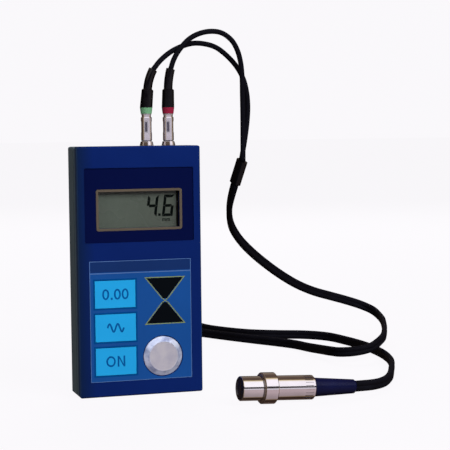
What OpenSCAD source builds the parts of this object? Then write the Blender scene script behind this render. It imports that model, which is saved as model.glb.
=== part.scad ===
// Hand-held ultrasonic thickness gauge with two plugs, twin lead and two-crystal probe.
// Origin: middle of the case's bottom end. X right, Y to the back, Z up. Lengths in millimetres.

/* [Case] */
// Width of the case
case_w = 64; // [60:1:72]
// Height of the case
case_h = 126; // [124:1:140]
// Depth of the case
case_d = 23; // [23:0.5:26]
// Depth of the front shell, from the face to the parting line
front_d = 7.5; // [7:0.5:8]
// Thickness of the side walls
wall = 2; // [1.6:0.1:2.2]
// Thickness of the front wall
front_wall = 2.4; // [2.4:0.1:2.6]
// Corner radius of the outline seen from the front
corner_r = 1.5; // [1.5:0.1:4]
// Rounding of the front edges
front_edge_r = 1; // [0.8:0.1:2]
// Rounding of the back edges
rear_edge_r = 3; // [1.5:0.1:4]
// Width of the shadow groove at the parting line
groove_w = 0.9; // [0.4:0.1:1.2]
// Depth of the shadow groove
groove_depth = 0.7; // [0.4:0.1:1]

/* [Display] */
// Margin at each side of the recessed panel round the display
panel_side = 3.8; // [3:0.1:5]
// Height of the recessed panel
panel_h = 37.4; // [30:0.2:44]
// Outer width of the window frame
frame_w = 44.4; // [36:0.2:52]
// Outer height of the window frame
frame_h = 20.8; // [18:0.2:22]
// How far the frame's middle lies below the panel's middle
frame_drop = 2.4; // [1:0.1:4]
// Width of the frame's band
frame_band = 1.2; // [0.8:0.1:1.6]

/* [Keypad] */
// Margin at each side of the keypad overlay
overlay_side = 5.7; // [5:0.1:7]
// Height of the keypad overlay
overlay_h = 61; // [54:0.2:70]
// Height of the title band at the overlay's top
band_h = 6; // [4:0.5:8]
// Margin left of the rectangular keys
key_side = 2.6; // [2:0.1:4]
// Margin right of the arrow keys
arrow_side = 4.6; // [3:0.1:6]
// Space between the rectangular keys and the arrow keys
column_gap = 6.2; // [4:0.1:8]
// Margin between the title band and the rectangular keys
key_top_gap = 3.9; // [2:0.1:5]
// Margin below the rectangular keys
key_low_gap = 3.4; // [2:0.1:5]
// Space between one rectangular key and the next
key_row_gap = 3.2; // [2:0.1:5]
// Margin between the title band and the upper arrow key
arrow_top_gap = 3.6; // [2:0.1:5]
// Space between the lower arrow key and the test disc
arrow_low_gap = 7; // [4:0.1:8]
// Travel of a key
key_travel = 0.4; // [0.2:0.05:0.4]

/* [Test disc] */
// Diameter of the steel test disc
disc_d = 20; // [16:0.5:23]
// Diameter of the disc's flat top
disc_flat_d = 15; // [12:0.5:16]
// How far the disc's middle lies left of the arrow keys' middle
disc_shift = 1.4; // [0:0.1:2]
// Margin between the disc and the overlay's lower edge
disc_low_gap = 1.7; // [1:0.1:3]
// How far the disc's top stands out of the face
disc_proud = 1.4; // [0.8:0.1:1.8]

/* [Plugs] */
// Diameter of a plug's release shell
plug_d = 5.6; // [5.4:0.1:6]
// Distance of the red plug from the case's right side
plug_side = 13.5; // [12:0.5:15]
// Spacing of the two plugs
plug_pitch = 11.5; // [11.5:0.5:12]
// Length of the release shell
shell_len = 12.2; // [11:0.2:12.2]
// Travel of the release shell when a plug is unlatched
release_travel = 1; // [0.5:0.1:1]
// Diameter of the plug's core
core_d = 4.8; // [4.4:0.1:4.8]
// Height of the colour ring
ring_h = 3.1; // [2:0.1:3.4]
// Length of the rubber boot
boot_len = 9.4; // [8:0.2:9.4]

/* [Batteries] */
// Diameter of a cell
cell_d = 14.5; // [14:0.1:14.5]
// Length of a cell with its button
cell_len = 50.5; // [48:0.5:50.5]
// Spacing of the two cells
cell_pitch = 15.6; // [15.2:0.1:16]

/* [Probe] */
// Diameter of the probe's front sleeve
nose_d = 12; // [11:0.2:13]
// Length of the front sleeve ahead of the collar
nose_len = 10.7; // [9:0.1:12]
// Diameter of the collar
collar_d = 15.4; // [14.6:0.2:17]
// Length of the collar
collar_len = 7.2; // [5:0.1:9]
// Diameter of the rear barrel
barrel_d = 12.1; // [11:0.1:13]
// Length of the rear barrel
barrel_len = 20.7; // [18:0.1:21]
// Length of the probe's boot
probe_boot_len = 22.7; // [20:0.1:23]
// Place of the probe's face, to the right of the case's middle
probe_x = 37; // [36:0.5:38]
// Place of the probe's face, in front of the case's middle
probe_y = 57.7; // [56:0.1:59]
// Turn of the probe on the table
probe_yaw = 3; // [2:0.5:4]
// Lift of the probe's nose
probe_tilt = 3; // [2.5:0.1:3.2]

/* [Leads] */
// Diameter of a thin lead
lead_d = 2.7; // [2:0.1:2.8]
// Width of the flat twin lead
twin_w = 5.6; // [4.4:0.1:5.8]
// Thickness of the flat twin lead
twin_t = 3.2; // [2.2:0.1:3.4]

/* [Hidden] */
$fn = 64;
// Overrun of every cut past the face that it opens
over = 0.5;
// Clearance between pieces that are only laid in
fit_gap = 0.1;

// The face's spare height is shared out above the panel, between it and the overlay, and below
spare_h = case_h - panel_h - overlay_h;
top_share = 0.391;
low_share = 0.279;
panel_w = case_w - 2 * panel_side;
panel_z = case_h - spare_h * top_share - panel_h / 2;
frame_z = panel_z - frame_drop;
overlay_w = case_w - 2 * overlay_side;
overlay_z = spare_h * low_share;
overlay_top = overlay_z + overlay_h - band_h;

// The two columns of keys share the overlay's width
keys_w = overlay_w - key_side - column_gap - arrow_side;
key_share = 0.531;
key_w = keys_w * key_share;
key_low_z = overlay_z + key_low_gap;
key_h = (overlay_top - key_top_gap - key_low_z - 2 * key_row_gap) / 3;
key_pitch = key_h + key_row_gap;
key_x = overlay_w / 2 - key_side - key_w / 2;
key_z = key_low_z + key_pitch + key_h / 2;
arrow_w = keys_w - key_w;
arrow_x = overlay_w / 2 - arrow_side - arrow_w / 2;
disc_x = arrow_x - disc_shift;
disc_z = overlay_z + disc_low_gap + disc_d / 2;
arrow_low_z = disc_z + disc_d / 2 + arrow_low_gap;
arrow_h = (overlay_top - arrow_top_gap - arrow_low_z) / 2;
arrow_z = arrow_low_z + arrow_h;

// Depths below the face, all counted from the front of the case
face_y = -case_d / 2;
parting_y = face_y + front_d;
back_y = case_d / 2;
panel_depth = 0.9;
panel_t = 0.4;
frame_depth = 1.4;
frame_t = 1;
window_t = 0.6;
overlay_depth = 0.5;
overlay_t = 0.45;
key_proud = 0.1;
key_t = 1;
key_pocket_depth = 1.5;
key_gap = 0.15;
post_r = 2;
post_hole_r = 2.3;
key_board_y = face_y + 3.85;
key_board_t = 1;
dome_h = 0.45;
dome_r = 3;
// The post stops short of its dome by the travel and a little play
post_play = 0.03;
// Profile of a snap dome, as shares of its radius and height
dome_profile_shares = [[0, 0], [1, 0], [0.9, 0.25], [0.75, 0.5], [0.55, 0.75], [0.3, 0.93], [0, 1]];
post_end_y = key_board_y - dome_h - key_travel - post_play;

// Case screws and their bosses
case_screw_side = 4.6;
case_screw_edge = 4.9;
case_screw_x = case_w / 2 - case_screw_side;
case_screw_low_z = case_screw_edge;
case_screw_high_z = case_h - case_screw_edge;
boss_r = 3.2;
case_screw_r = 1.1;
case_screw_hole_r = 1.3;
case_screw_head_r = 2.1;
case_screw_head_h = 1.6;
case_screw_well_r = 2.5;
case_screw_well_depth = 3.2;
driver_slot_w = 0.7;
driver_slot_depth = 0.7;

// Depth of the test disc's seat, and width of the groove round the disc
disc_seat = 1.8;
disc_groove = 0.5;

// Keypad board, held by melted pins on the front shell's posts
board_gap = 0.7;
key_board_rise = 1.3;
key_board_drop = 9.6;
key_board_w = 2 * (case_screw_x - boss_r - board_gap);
key_board_z = overlay_z + key_board_rise;
key_board_h = overlay_h - key_board_drop - key_board_rise;
key_post_r = 1.6;
key_post_edge = 2;
key_post_x = key_board_w / 2 - key_post_edge;
key_post_rows = [key_board_z + key_post_edge, key_board_z + key_board_h - key_post_edge];
stake_r = 0.8;
stake_hole_r = 0.9;
stake_head_r = 1.4;
stake_head_h = 0.35;
arrow_edge = 1.1;
arrow_rise_share = 1 / 3;

// Small screws of the main board
screw_r = 0.9;
screw_head_r = 1.7;
screw_head_h = 1.1;
screw_hole_gap = 0.15;
screw_bite = 2.9;

// Display stack
glass_side = 0.8;
glass_edge = 0.6;
glass_w = frame_w + 2 * glass_side;
glass_h = frame_h + 2 * glass_edge;
glass_t = 2.2;
holder_wall = 1;
holder_lip = 0.8;
glass_y = face_y + front_wall + window_t + holder_lip;
zebra_w = frame_w - 2 * frame_band;
zebra_h = 1.6;

// Battery compartment
door_w = 35;
door_h = 58;
door_z = 5.6;
door_t = 1.8;
door_gap = 0.2;
door_rib_w = 14;
door_rib_h = 0.8;
door_rib_pitch = 1.9;
door_rib_count = 5;
door_rib_proud = 0.5;
door_corner_r = 1.6;
bay_wall = 1;
bay_z = 6.6;
bay_h = 55;
bay_gap = 0.15;
bay_w = cell_pitch + cell_d + 2 * bay_gap;
bay_y = face_y + 6.3;
cell_y = back_y - door_t - bay_gap - cell_d / 2;
cell_nub_r = 2.75;
cell_nub_h = 1.1;
cell_rim = 0.8;
plate_t = 0.4;
plate_w = 11;
plate_tab_w = 3;
spring_wire_r = 0.35;
spring_low_r = 4.4;
spring_top_r = 2.6;
spring_turns = 3;
spring_sides = 6;
spring_steps = 12;
spring_gap = 0.05;
spring_len = bay_h - 2 * plate_t - cell_len;

// Main board, behind the display: its upper posts stand above the display's holder
board_y = parting_y;
board_t = 1.6;
board_side = 3.5;
board_low_gap = 3.4;
board_post_edge = 2.2;
board_post_low = 4;
board_post_r = 1.5;
board_post_gap = 0.1;
board_w = case_w - 2 * board_side;
board_z = bay_z + bay_h + bay_wall + board_low_gap;
board_post_high_z = frame_z + glass_h / 2 + holder_wall + board_post_gap + board_post_r;
board_top_z = board_post_high_z + board_post_r + board_post_gap;
board_h = board_top_z - board_z;
board_post_x = board_w / 2 - board_post_edge;
board_post_rows = [board_z + board_post_low, board_post_high_z];

// Plugs and sockets, heights above the case's top
plug_red_x = case_w / 2 - plug_side;
plug_green_x = plug_red_x - plug_pitch;
core_gap = 0.05;
socket_r = 3.4;
socket_neck_r = 2.9;
socket_flange_r = 4.4;
socket_flange_t = 1.2;
socket_depth = 7.8;
socket_top = 1.9;
socket_bore_depth = 6.8;
nut_base_r = 3.5;
nut_top_r = 3.05;
nut_h = 2.2;
nut_chamfer = 0.4;
shell_low = nut_h + 0.2;
shell_edge = 0.4;
core_top = shell_low + shell_len + release_travel + 0.1;
collar_nut_h = 0.6;
collar_nut_r = 2.6;
core_play = 0.4;
spigot_r = 1.6;
spigot_h = 7.5;
ring_base = core_top + collar_nut_h;
boot_base = ring_base + ring_h;
boot_low_r = 3.2;
boot_top_r = 3;
boot_lip = 0.5;
boot_dip = 0.6;
pocket_w = 2;
pocket_len = 6.4;
pocket_depth_share = 0.55;
pocket_rise = 4;
pocket_count = 4;
pocket_turn = -17;
pocket_depth = (plug_d / 2 - core_d / 2 - core_gap) * pocket_depth_share;
sleeve_r = 2.25;
green_lean = 5.4;
green_sleeve_bend_r = 26;
green_sleeve_angle = 23;
red_lean = 1.3;
red_sleeve_bend_r = 44;
red_sleeve_angle = 13.5;
inner_lead_r = 0.9;
inner_lead_drop = 11;

// Probe, lengths along its axis from the face
probe_chamfer = 0.5;
nose_wall = 0.9;
nose_recess = 1.2;
face_inset = 0.35;
barrier_t = 0.8;
block_len = 8;
block_gap = 0.05;
knurl_len = 5.2;
knurl_end = 0.9;
knurl_depth = 0.25;
knurl_count = 24;
knurl_w = 0.7;
seam_w = 0.4;
seam_depth = 0.3;
neck_r = 4;
neck_len = 3;
probe_boot_r = 4.7;
probe_boot_end_r = 3.5;
probe_boot_round = 0.8;
probe_len = nose_len + collar_len + barrel_len;
// Height of the face's middle, so that the collar's rear edge rests on the table
probe_z = collar_d / 2 * cos(probe_tilt) + (nose_len + collar_len - probe_chamfer) * sin(probe_tilt);

// Joint sleeve, from where the thin leads enter it to where the twin lead leaves it
joint_from = [60.5, 7.5, 117.5];
joint_to = [58, 12.5, 105.5];
joint_w = 6.8;
joint_t = 4;

// Route of the green thin lead, from its plug to the joint sleeve
cord_green_route = [[10.7, 0, 164.4], [15.2, 1, 169.5], [21.2, 2.5, 174], [27.5, 4, 176.9],
  [33.7, 5, 178.5], [40.6, 6.5, 178.3], [46.8, 7.5, 176.6], [52.8, 8.5, 172.6], [58.6, 9.5, 166.8],
  [62.3, 10, 160.6], [64.4, 10.5, 154.3], [65.2, 10.5, 146.7], [64.8, 10.5, 138.8], [63, 10, 128.5],
  [60.5, 9, 117.5]];
// Route of the red thin lead, from its plug to the joint sleeve
cord_red_route = [[20.2, 0, 164.9], [21.8, 0, 169.6], [24.7, 0, 174.5], [30, 0.5, 180.1],
  [35.8, 1, 183.2], [42.4, 1.5, 184.5], [48.7, 2.5, 183.7], [53.9, 3, 180.2], [57.1, 3.8, 175.5],
  [59.1, 4.5, 169.6], [60.1, 5, 162.2], [60.4, 5.5, 151.8], [60.5, 5.5, 139.5], [60.4, 5.5, 127.2],
  [60.5, 6, 117]];
// Route of the twin lead, from the joint sleeve over the table and behind the case to the probe
cord_twin_route = [[58, 12.5, 105.5], [57.8, 18, 99], [59.1, 26.5, 92], [64.4, 41, 82],
  [74.2, 57, 72.5], [87, 74, 63.4], [101.7, 91.5, 54.4], [117.1, 108.5, 45.8], [133, 124, 37.9],
  [149.1, 137, 31.5], [164.1, 146, 26.9], [177, 150.5, 23], [186.5, 150, 19.7], [192.1, 144, 16.7],
  [192.7, 132.5, 13.4], [182.5, 103.3, 12.2], [172.1, 79, 11.6], [161.8, 58.8, 11], [151.8, 48.5, 8.5],
  [145, 43.9, 7.7], [137.2, 44.3, 6.8], [131, 49, 6.2], [128.6, 56, 5.9], [128.4, 70, 4.8],
  [127, 88, 3.7], [123.7, 108.4, 2.9], [106.3, 142.3, 2.9], [95.7, 161.7, 2.9], [85.8, 181.3, 2.9],
  [75, 201, 2.9], [66, 218, 2.9], [62.5, 234, 2.9], [66.6, 243.9, 2.9], [76.5, 248, 2.9],
  [86.4, 243.9, 2.9], [90.5, 234, 2.9], [93.2, 216, 2.9], [96.5, 196.9, 2.9], [103.6, 180.9, 2.9],
  [115.5, 165.3, 2.9], [131.3, 155.4, 2.9], [146, 145.5, 2.9], [156, 133.2, 2.9], [160.2, 113.2, 2.9],
  [162.3, 89.4, 2.9], [161.5, 65.4, 2.9], [157.8, 42.5, 2.9], [151.5, 21.5, 2.9], [142.3, 0.8, 2.9],
  [132.5, -19.5, 2.9], [121.5, -37, 3.5], [110.5, -48.5, 4.5], [98, -54.5, 5.4]];
// Outline of the twin lead's section, as shares of its half thickness and half width
twin_outline_shares = [[1, 0.5], [0.6, 1], [-0.6, 1], [-1, 0.5], [-1, -0.5], [-0.6, -1], [0.6, -1],
  [1, -0.5]];
lead_sides = 8;

case_blue = "#0d1f5f";
shell_grey = "#444846";
metal = "#c2bcc2";
steel = "#cfd2da";
black_rubber = "#121018";

// Vector helpers for the swept leads
function unit(v) = v / norm(v);
function tangent(p, i) = unit(p[min(i + 1, len(p) - 1)] - p[max(i - 1, 0)]);
function across(t, toward) = unit(toward - (toward * t) * t);

// A tube of one closed outline swept along points, its second axis kept as near to toward as it can be
module sweep(points, outline, toward) {
  sides = len(outline);
  rings = [for (i = [0 : len(points) - 1])
    let (t = tangent(points, i), up = across(t, toward), side = cross(t, up))
      for (q = outline) points[i] + q[0] * side + q[1] * up];
  last = len(points) - 1;
  quads = [for (i = [0 : last - 1]) for (j = [0 : sides - 1])
    let (a = i * sides + j, b = i * sides + (j + 1) % sides)
      each [[a, a + sides, b], [b, a + sides, b + sides]]];
  first_cap = [[for (j = [0 : sides - 1]) j]];
  last_cap = [[for (j = [sides - 1 : -1 : 0]) last * sides + j]];
  polyhedron(concat(rings), concat(quads, first_cap, last_cap));
}

// Rectangle about the middle with round corners, smaller at low y than at high y if asked
module round_rect(w, h, r, high_r = -1) {
  top_r = high_r < 0 ? r : high_r;
  translate([-w / 2, -h / 2 + r]) square([w, h - r - top_r]);
  translate([-w / 2 + r, -h / 2]) square([w - 2 * r, h / 2]);
  translate([-w / 2 + top_r, 0]) square([w - 2 * top_r, h / 2]);
  for (side = [-1, 1]) {
    translate([side * (w / 2 - r), -h / 2 + r]) circle(r);
    translate([side * (w / 2 - top_r), h / 2 - top_r]) circle(top_r);
  }
}

// A plate seen from the front: its outline in X and Z, its thickness from y_from to y_to
module plate(y_from, y_to) {
  translate([0, y_to, 0]) rotate([90, 0, 0]) linear_extrude(y_to - y_from) children();
}

// A round bar along Y
module bar(x, z, r, y_from, y_to) {
  translate([x, y_to, z]) rotate([90, 0, 0]) cylinder(h = y_to - y_from, r = r);
}

// Outline of the case seen from the front, smaller all round by inset
module case_outline(inset) {
  translate([0, case_h / 2]) round_rect(case_w - 2 * inset, case_h - 2 * inset, corner_r - inset / 2);
}

// The whole case as one rounded block
module case_block() {
  intersection() {
    plate(face_y, back_y) case_outline(0);
    linear_extrude(case_h) round_rect(case_w, case_d, front_edge_r, rear_edge_r);
    translate([0, 0, case_h / 2]) rotate([0, -90, 0])
      linear_extrude(case_w, center = true) round_rect(case_h, case_d, front_edge_r, rear_edge_r);
  }
}

// Band removed all round the outside for the shadow groove
module groove_band(y_from, y_to) {
  difference() {
    translate([-case_w, y_from, -case_w]) cube([2 * case_w, y_to - y_from, case_h + 2 * case_w]);
    plate(y_from - over, y_to + over) case_outline(groove_depth);
  }
}

// Outline of a rectangular key, grown by gap
module key_outline(row, gap) {
  translate([-key_x, key_z + row * key_pitch])
    square([key_w + 2 * gap, key_h + 2 * gap], center = true);
}

// Outline of an arrow key whose blunt tip is at the middle; up = 1 above the middle, -1 below it
module arrow_outline(up, gap) {
  slope = arrow_w / 2 / arrow_h;
  half = arrow_w / 2 + gap * 2;
  tip = arrow_edge - gap;
  translate([arrow_x, arrow_z])
    polygon([[-tip * slope - gap, up * tip], [tip * slope + gap, up * tip],
      [half, up * (arrow_h + gap)], [-half, up * (arrow_h + gap)]]);
}

// Height of an arrow key's post above the tips
arrow_post = arrow_h * (1 - arrow_rise_share);
key_posts = [[-key_x, key_z + key_pitch], [-key_x, key_z], [-key_x, key_z - key_pitch],
  [arrow_x, arrow_z + arrow_post], [arrow_x, arrow_z - arrow_post]];

module all_keys_outline(gap) {
  for (row = [-1 : 1]) key_outline(row, gap);
  arrow_outline(1, gap);
  arrow_outline(-1, gap);
}

module overlay_outline(gap) {
  translate([0, overlay_z + overlay_h / 2])
    square([overlay_w + 2 * gap, overlay_h + 2 * gap], center = true);
}

module front_shell() color(case_blue) difference() {
  union() {
    difference() {
      intersection() {
        case_block();
        plate(face_y, parting_y) case_outline(0);
      }
      plate(face_y + front_wall, parting_y + over) case_outline(wall);
      groove_band(parting_y - groove_w / 2, parting_y + over);
    }
    // posts of the keypad board, of the main board and bosses of the case screws
    for (side = [-1, 1]) {
      for (z = key_post_rows) {
        bar(side * key_post_x, z, key_post_r, face_y + front_wall - over, key_board_y);
        bar(side * key_post_x, z, stake_r, key_board_y - over, key_board_y + key_board_t + stake_head_h);
        bar(side * key_post_x, z, stake_head_r, key_board_y + key_board_t,
          key_board_y + key_board_t + stake_head_h);
      }
      for (z = board_post_rows)
        bar(side * board_post_x, z, board_post_r, face_y + front_wall - over, board_y);
      for (z = [case_screw_low_z, case_screw_high_z])
        bar(side * case_screw_x, z, boss_r, face_y + front_wall - over, parting_y);
    }
  }
  // recesses of the face
  plate(face_y - over, face_y + panel_depth) translate([0, panel_z])
    round_rect(panel_w, panel_h, corner_r / 2);
  plate(face_y - over, face_y + frame_depth) translate([0, frame_z])
    round_rect(frame_w + 2 * fit_gap, frame_h + 2 * fit_gap, frame_band);
  plate(face_y - over, parting_y) translate([0, frame_z])
    square([frame_w - 2 * frame_band, frame_h - 2 * frame_band], center = true);
  plate(face_y - over, face_y + overlay_depth) overlay_outline(fit_gap);
  plate(face_y - over, face_y + key_pocket_depth) all_keys_outline(key_gap);
  for (p = key_posts) bar(p[0], p[1], post_hole_r, face_y - over, face_y + front_wall + over);
  bar(disc_x, disc_z, disc_d / 2 + fit_gap, face_y - over, face_y + disc_seat);
  // screw holes
  for (side = [-1, 1]) {
    for (z = board_post_rows) bar(side * board_post_x, z, screw_r, board_y - screw_bite, board_y + over);
    for (z = [case_screw_low_z, case_screw_high_z])
      bar(side * case_screw_x, z, case_screw_r, face_y + front_wall, parting_y + over);
  }
}

// Holes for the sockets in the top wall
module socket_holes() {
  for (x = [plug_green_x, plug_red_x])
    translate([x, 0, case_h - 2 * wall]) cylinder(h = 3 * wall, r = socket_neck_r + fit_gap);
}

module bay_block(grow) {
  translate([-bay_w / 2 - grow, bay_y - grow, bay_z - grow])
    cube([bay_w + 2 * grow, back_y - bay_y + grow - door_t, bay_h + 2 * grow]);
}

module door_outline(gap) {
  translate([0, door_z + door_h / 2]) round_rect(door_w + 2 * gap, door_h + 2 * gap, door_corner_r);
}

module rear_shell() color(shell_grey) difference() {
  union() {
    difference() {
      intersection() {
        case_block();
        plate(parting_y, back_y) case_outline(0);
      }
      plate(parting_y - over, back_y - wall) case_outline(wall);
      groove_band(parting_y - over, parting_y + groove_w / 2);
    }
    bay_block(bay_wall);
    for (side = [-1, 1]) for (z = [case_screw_low_z, case_screw_high_z])
      bar(side * case_screw_x, z, boss_r, parting_y, back_y - wall + over);
    // ledge that carries the door
    plate(back_y - door_t - bay_wall, back_y - door_t) door_outline(door_gap);
  }
  bay_block(0);
  plate(back_y - door_t, back_y + over) door_outline(door_gap);
  for (side = [-1, 1]) for (z = [case_screw_low_z, case_screw_high_z]) {
    bar(side * case_screw_x, z, case_screw_hole_r, parting_y - over, back_y + over);
    bar(side * case_screw_x, z, case_screw_well_r, back_y - case_screw_well_depth, back_y + over);
  }
  socket_holes();
}

module battery_door() color(shell_grey) {
  plate(back_y - door_t, back_y) door_outline(0);
  // grip ribs near the top
  for (i = [0 : door_rib_count - 1])
    translate([-door_rib_w / 2, back_y - over, door_z + door_h - (i + 2.5) * door_rib_pitch])
      cube([door_rib_w, over + door_rib_proud, door_rib_h]);
}

// One cell standing with its button up, base at the origin
module cell() {
  body_len = cell_len - cell_nub_h;
  rotate_extrude() polygon([[0, 0], [cell_d / 2 - cell_rim, 0], [cell_d / 2, cell_rim],
    [cell_d / 2, body_len - cell_rim], [cell_d / 2 - cell_rim, body_len], [cell_nub_r, body_len],
    [cell_nub_r, cell_len], [0, cell_len]]);
}

module battery_left() color("#3a6f50")
  translate([-cell_pitch / 2, cell_y, bay_z + bay_h - plate_t - cell_len]) cell();

module battery_right() color("#3a6f50")
  translate([cell_pitch / 2, cell_y, bay_z + plate_t + cell_len]) mirror([0, 0, 1]) cell();

// A conical coil spring on its wide end
module spring(height) {
  steps = spring_turns * spring_steps;
  rise = height - 2 * (spring_wire_r + spring_gap);
  points = [for (i = [0 : steps])
    let (s = i / steps, a = 360 * spring_turns * s, r = spring_low_r + (spring_top_r - spring_low_r) * s)
      [r * cos(a), r * sin(a), spring_wire_r + spring_gap + rise * s]];
  sweep(points, [for (j = [0 : spring_sides - 1])
    spring_wire_r * [cos(360 * j / spring_sides), sin(360 * j / spring_sides)]], [0, 0, 1]);
}

module battery_springs() color("silver") {
  translate([-cell_pitch / 2, cell_y, bay_z + plate_t]) spring(spring_len);
  translate([cell_pitch / 2, cell_y, bay_z + bay_h - plate_t]) mirror([0, 0, 1]) spring(spring_len);
}

module battery_plates() color("silver") {
  // bridge plate at the bottom, one plate with a solder tab over each cell at the top
  translate([0, cell_y, bay_z + plate_t / 2])
    cube([cell_pitch + plate_w, plate_w, plate_t], center = true);
  for (side = [-1, 1])
    translate([side * cell_pitch / 2, cell_y, bay_z + bay_h - plate_t / 2])
      cube([plate_w, plate_w, plate_t], center = true);
}

module board_plate(w, z, h, y, t, post_x, rows, hole_r) {
  difference() {
    plate(y, y + t) translate([0, z + h / 2]) square([w, h], center = true);
    for (side = [-1, 1]) for (row = rows)
      bar(side * post_x, row, hole_r, y - over, y + t + over);
  }
}

module main_board() color("#1f6b3a")
  board_plate(board_w, board_z, board_h, board_y, board_t, board_post_x, board_post_rows,
    screw_r + screw_hole_gap);

module keypad_board() color("#1f6b3a")
  board_plate(key_board_w, key_board_z, key_board_h, key_board_y, key_board_t, key_post_x, key_post_rows,
    stake_hole_r);

// Ribbon from the back of the keypad board to the front of the main board
ribbon_w = 14;
ribbon_t = 0.3;
ribbon_lap = 3;
ribbon_turn_z = bay_z + bay_h + 1.5 * bay_wall;
module keypad_ribbon() color("#b98a3c") {
  low_y = key_board_y + key_board_t;
  top_y = board_y - ribbon_t;
  top_z = board_z + ribbon_lap;
  low_z = key_board_z + key_board_h;
  translate([-ribbon_w / 2, 0, 0]) rotate([90, 0, 90]) linear_extrude(ribbon_w)
    polygon([[low_y, low_z - ribbon_lap], [low_y + ribbon_t, low_z - ribbon_lap],
      [low_y + ribbon_t, ribbon_turn_z], [top_y + ribbon_t, board_z - ribbon_t],
      [top_y + ribbon_t, top_z], [top_y, top_z], [top_y, board_z], [low_y, ribbon_turn_z + ribbon_t]]);
}

// Chips on the back of the main board
chip_y = board_y + board_t;
chip_lift = 0.1;
processor_w = 14;
processor_t = 1.5;
processor_x = -6;
processor_z = board_z + 1.5 * processor_w;
leg_w = 0.5;
leg_len = 1.2;
leg_t = 0.25;
leg_count = 10;
receiver_w = 5;
receiver_h = 10;
receiver_x = 12.5;
receiver_z = processor_z;
receiver_legs = 7;
crystal_w = 9;
crystal_h = 3.4;
crystal_t = 3;
crystal_x = -6;
crystal_z = board_z + 2 * crystal_h;
capacitor_r = 2.5;
capacitor_h = 6;
capacitor_x = 4;
capacitor_pitch = 6.5;
capacitor_z = crystal_z;
capacitor_count = 3;

// A flat chip with a row of legs on its left and right sides, and above and below if it has four rows
module chip(x, z, w, h, t, legs, four) {
  plate(chip_y + chip_lift, chip_y + t) translate([x, z]) square([w, h], center = true);
  pitch = h / (legs + 1);
  for (i = [1 : legs]) for (side = [-1, 1]) {
    plate(chip_y, chip_y + leg_t) translate([x + side * (w / 2 + leg_len / 2 - leg_t), z - h / 2 + i * pitch])
      square([leg_len + leg_t, leg_w], center = true);
    if (four)
      plate(chip_y, chip_y + leg_t)
        translate([x - w / 2 + i * pitch, z + side * (h / 2 + leg_len / 2 - leg_t)])
          square([leg_w, leg_len + leg_t], center = true);
  }
}

module processor_chip() color("#222222")
  chip(processor_x, processor_z, processor_w, processor_w, processor_t, leg_count, true);

module receiver_chip() color("#222222")
  chip(receiver_x, receiver_z, receiver_w, receiver_h, processor_t, receiver_legs, false);

module quartz_crystal() color("silver")
  plate(chip_y, chip_y + crystal_t) translate([crystal_x, crystal_z])
    round_rect(crystal_w, crystal_h, crystal_h / 3);

module capacitors() color("#2b3f7a")
  for (i = [0 : capacitor_count - 1])
    bar(capacitor_x + i * capacitor_pitch, capacitor_z, capacitor_r, chip_y, chip_y + capacitor_h);

module lcd_glass() color("#58604f")
  plate(glass_y, glass_y + glass_t) translate([0, frame_z]) square([glass_w, glass_h], center = true);

module lcd_holder() color("#e8e6df") difference() {
  plate(glass_y - holder_lip, board_y) translate([0, frame_z])
    square([glass_w + 2 * holder_wall, glass_h + 2 * holder_wall], center = true);
  plate(glass_y - holder_lip - over, board_y + over) translate([0, frame_z])
    square([glass_w - 2 * holder_lip, glass_h - 2 * holder_lip], center = true);
  plate(glass_y, board_y + over) translate([0, frame_z])
    square([glass_w + fit_gap, glass_h + fit_gap], center = true);
}

module zebra_strips() color("#333333")
  for (side = [-1, 1]) plate(glass_y + glass_t, board_y)
    translate([0, frame_z + side * (glass_h / 2 - zebra_h)]) square([zebra_w, zebra_h], center = true);

module display_window() color("#d8e4e4", 0.4)
  plate(face_y + front_wall, face_y + front_wall + window_t) translate([0, frame_z])
    square([glass_w, glass_h], center = true);

module display_frame() color("#6e6455") difference() {
  plate(face_y + frame_depth - frame_t, face_y + frame_depth) translate([0, frame_z])
    round_rect(frame_w, frame_h, frame_band);
  plate(face_y - over, face_y + frame_depth + over) translate([0, frame_z])
    square([frame_w - 2 * frame_band, frame_h - 2 * frame_band], center = true);
}

module display_panel() color("#050f3c") difference() {
  plate(face_y + panel_depth - panel_t, face_y + panel_depth) translate([0, panel_z])
    round_rect(panel_w - 2 * fit_gap, panel_h - 2 * fit_gap, corner_r / 2);
  plate(face_y - over, face_y + panel_depth + over) translate([0, frame_z])
    round_rect(frame_w + 2 * fit_gap, frame_h + 2 * fit_gap, frame_band);
}

module keypad_overlay() color("#1c4896") difference() {
  plate(face_y + overlay_depth - overlay_t, face_y + overlay_depth) overlay_outline(0);
  plate(face_y - over, face_y + overlay_depth + over) all_keys_outline(key_gap);
  bar(disc_x, disc_z, disc_d / 2 + disc_groove, face_y - over, face_y + overlay_depth + over);
}

// A key: its plate in the face and the post behind it
module key(i) {
  plate(face_y - key_proud, face_y - key_proud + key_t) children();
  bar(key_posts[i][0], key_posts[i][1], post_r, face_y - key_proud + key_t - fit_gap, post_end_y);
}

module key_zero() color("#25a0e4") key(0) key_outline(1, 0);
module key_velocity() color("#25a0e4") key(1) key_outline(0, 0);
module key_on() color("#25a0e4") key(2) key_outline(-1, 0);
module key_down() color("#060606") key(3) arrow_outline(1, 0);
module key_up() color("#060606") key(4) arrow_outline(-1, 0);

module dome_switches() color("silver") for (p = key_posts)
  translate([p[0], key_board_y, p[1]]) rotate([90, 0, 0])
    rotate_extrude() polygon([for (s = dome_profile_shares) [s[0] * dome_r, s[1] * dome_h]]);

module test_disc() color(steel) translate([disc_x, face_y + disc_seat, disc_z]) rotate([90, 0, 0])
  rotate_extrude() polygon([[0, 0], [disc_d / 2, 0], [disc_d / 2, disc_seat - overlay_depth / 2],
    [disc_flat_d / 2, disc_seat + disc_proud], [0, disc_seat + disc_proud]]);

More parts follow.
